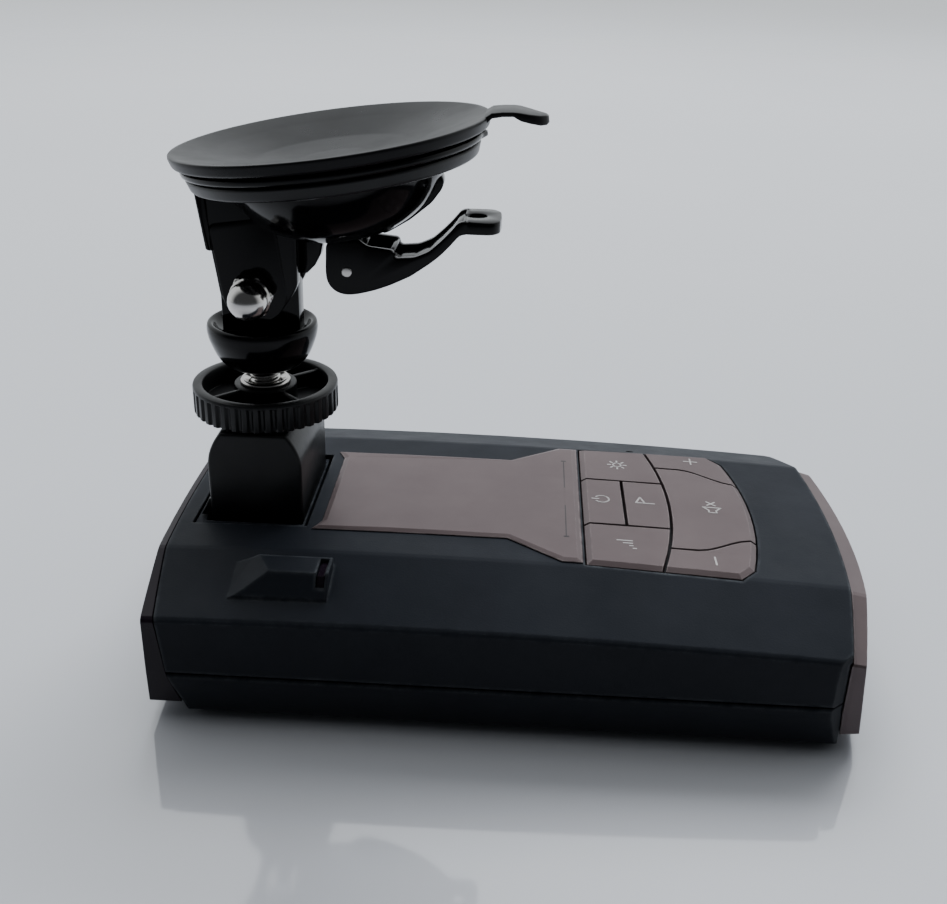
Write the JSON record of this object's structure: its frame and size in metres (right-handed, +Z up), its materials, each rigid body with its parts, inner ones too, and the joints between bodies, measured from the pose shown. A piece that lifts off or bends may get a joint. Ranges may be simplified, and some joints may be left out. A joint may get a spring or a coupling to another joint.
{
  "type": "windscreen radar detector",
  "caption": "Windscreen radar detector in a flat dark case with a taupe keypad and trim, standing under its magnetic suction-cup windscreen mount.",
  "frame": {"origin": "centre of the case's flat underside", "axes": "+X along the case towards the display end, +Y across it away from the keypad's minus key, +Z up out of the keypad"},
  "size_m": [0.1398, 0.0888, 0.109],
  "materials": {
    "case_plastic": "fine matte texture",
    "taupe_plastic": "satin metallic paint",
    "gloss_black": "polished",
    "satin_black": "satin",
    "smoked_lens": "polished, tinted",
    "rubber_black": "smooth moulded",
    "silicone": "matte",
    "nickel": "bright nickel plate",
    "brass": "turned",
    "circuit_board": "solder mask",
    "die_cast": "as cast",
    "ceramic": "unglazed",
    "magnet": "plated"
  },
  "bodies": {
    "case": {"top_shell": "case_plastic", "bottom_shell": "case_plastic", "front_lens": "smoked_lens", "display_bezel": "taupe_plastic", "display_window": "smoked_lens", "display_module": "gloss_black", "trim_plate": "taupe_plastic", "keypad_membrane": "silicone", "rear_laser_window": "smoked_lens", "light_sensor": "smoked_lens", "main_circuit_board": "circuit_board", "front_antenna_horn": "die_cast", "rear_antenna_horn": "die_cast", "gps_antenna": "ceramic", "speaker": "satin_black", "front_laser_sensor": "gloss_black", "rear_laser_sensor": "gloss_black", "power_jack": "satin_black", "usb_socket": "nickel", "audio_jack": "satin_black", "case_screw_1": "nickel", "case_screw_2": "nickel", "case_screw_3": "nickel", "case_screw_4": "nickel", "mount_dock": "case_plastic", "dock_magnet": "magnet"},
    "brightness_button": {"key_brightness": "taupe_plastic"},
    "power_button": {"key_power": "taupe_plastic"},
    "mark_button": {"key_mark": "taupe_plastic"},
    "sensitivity_button": {"key_sensitivity": "taupe_plastic"},
    "mute_button": {"key_mute": "taupe_plastic"},
    "volume_up_button": {"key_volume_up": "taupe_plastic"},
    "volume_down_button": {"key_volume_down": "taupe_plastic"},
    "mount": {"mount_block": "satin_black", "block_magnet": "magnet", "block_insert": "brass"},
    "neck": {"mount_stud": "nickel", "lower_knuckle": "gloss_black"},
    "wheel": {"thumbwheel": "satin_black", "wheel_insert": "nickel"},
    "head": {"suction_base": "gloss_black", "base_rim": "satin_black", "suction_cup": "rubber_black", "tilt_bolt": "nickel", "acorn_nut": "nickel"},
    "cam": {"plunger": "satin_black", "lever_pin": "nickel"},
    "lock_lever": {"lever": "gloss_black"}
  },
  "joints": [
    {"name": "brightness_press", "type": "slide", "parent": "case", "child": "brightness_button", "axis": [0, 0, -1], "range_m": [0, 0.0008], "stiffness_N_per_m": 400},
    {"name": "power_press", "type": "slide", "parent": "case", "child": "power_button", "axis": [0, 0, -1], "range_m": [0, 0.0008], "stiffness_N_per_m": 400},
    {"name": "mark_press", "type": "slide", "parent": "case", "child": "mark_button", "axis": [0, 0, -1], "range_m": [0, 0.0008], "stiffness_N_per_m": 400},
    {"name": "sensitivity_press", "type": "slide", "parent": "case", "child": "sensitivity_button", "axis": [0, 0, -1], "range_m": [0, 0.0008], "stiffness_N_per_m": 400},
    {"name": "mute_press", "type": "slide", "parent": "case", "child": "mute_button", "axis": [0, 0, -1], "range_m": [0, 0.0008], "stiffness_N_per_m": 400},
    {"name": "volume_up_press", "type": "slide", "parent": "case", "child": "volume_up_button", "axis": [0, 0, -1], "range_m": [0, 0.0008], "stiffness_N_per_m": 400},
    {"name": "volume_down_press", "type": "slide", "parent": "case", "child": "volume_down_button", "axis": [0, 0, -1], "range_m": [0, 0.0008], "stiffness_N_per_m": 400},
    {"name": "mount_release", "type": "slide", "parent": "case", "child": "mount", "axis": [0, 0, 1], "range_m": [0, 0.012]},
    {"name": "neck_turn", "type": "hinge", "parent": "mount", "child": "neck", "pos_m": [-0.0537, 0, 0.045], "axis": [0, 0, 1], "range_deg": [-180, 180]},
    {"name": "wheel_turn", "type": "hinge", "parent": "neck", "child": "wheel", "pos_m": [-0.0537, 0, 0.0504], "axis": [0, 0, 1], "continuous": true},
    {"name": "head_tilt", "type": "hinge", "parent": "neck", "child": "head", "pos_m": [-0.05342, 0, 0.07389], "axis": [0, -1, 0], "range_deg": [-30, 45]},
    {"name": "plunger_slide", "type": "slide", "parent": "head", "child": "cam", "axis": [-0.1374, 0, 0.9905], "range_m": [0, 0.0025]},
    {"name": "lever_throw", "type": "hinge", "parent": "cam", "child": "lock_lever", "pos_m": [-0.03548, 0, 0.07845], "axis": [0, 1, 0], "range_deg": [0, 55]}
  ],
  "couplings": [
    {"joint": "lever_throw", "follows": "plunger_slide", "rad_per_m": 383.9}
  ]
}
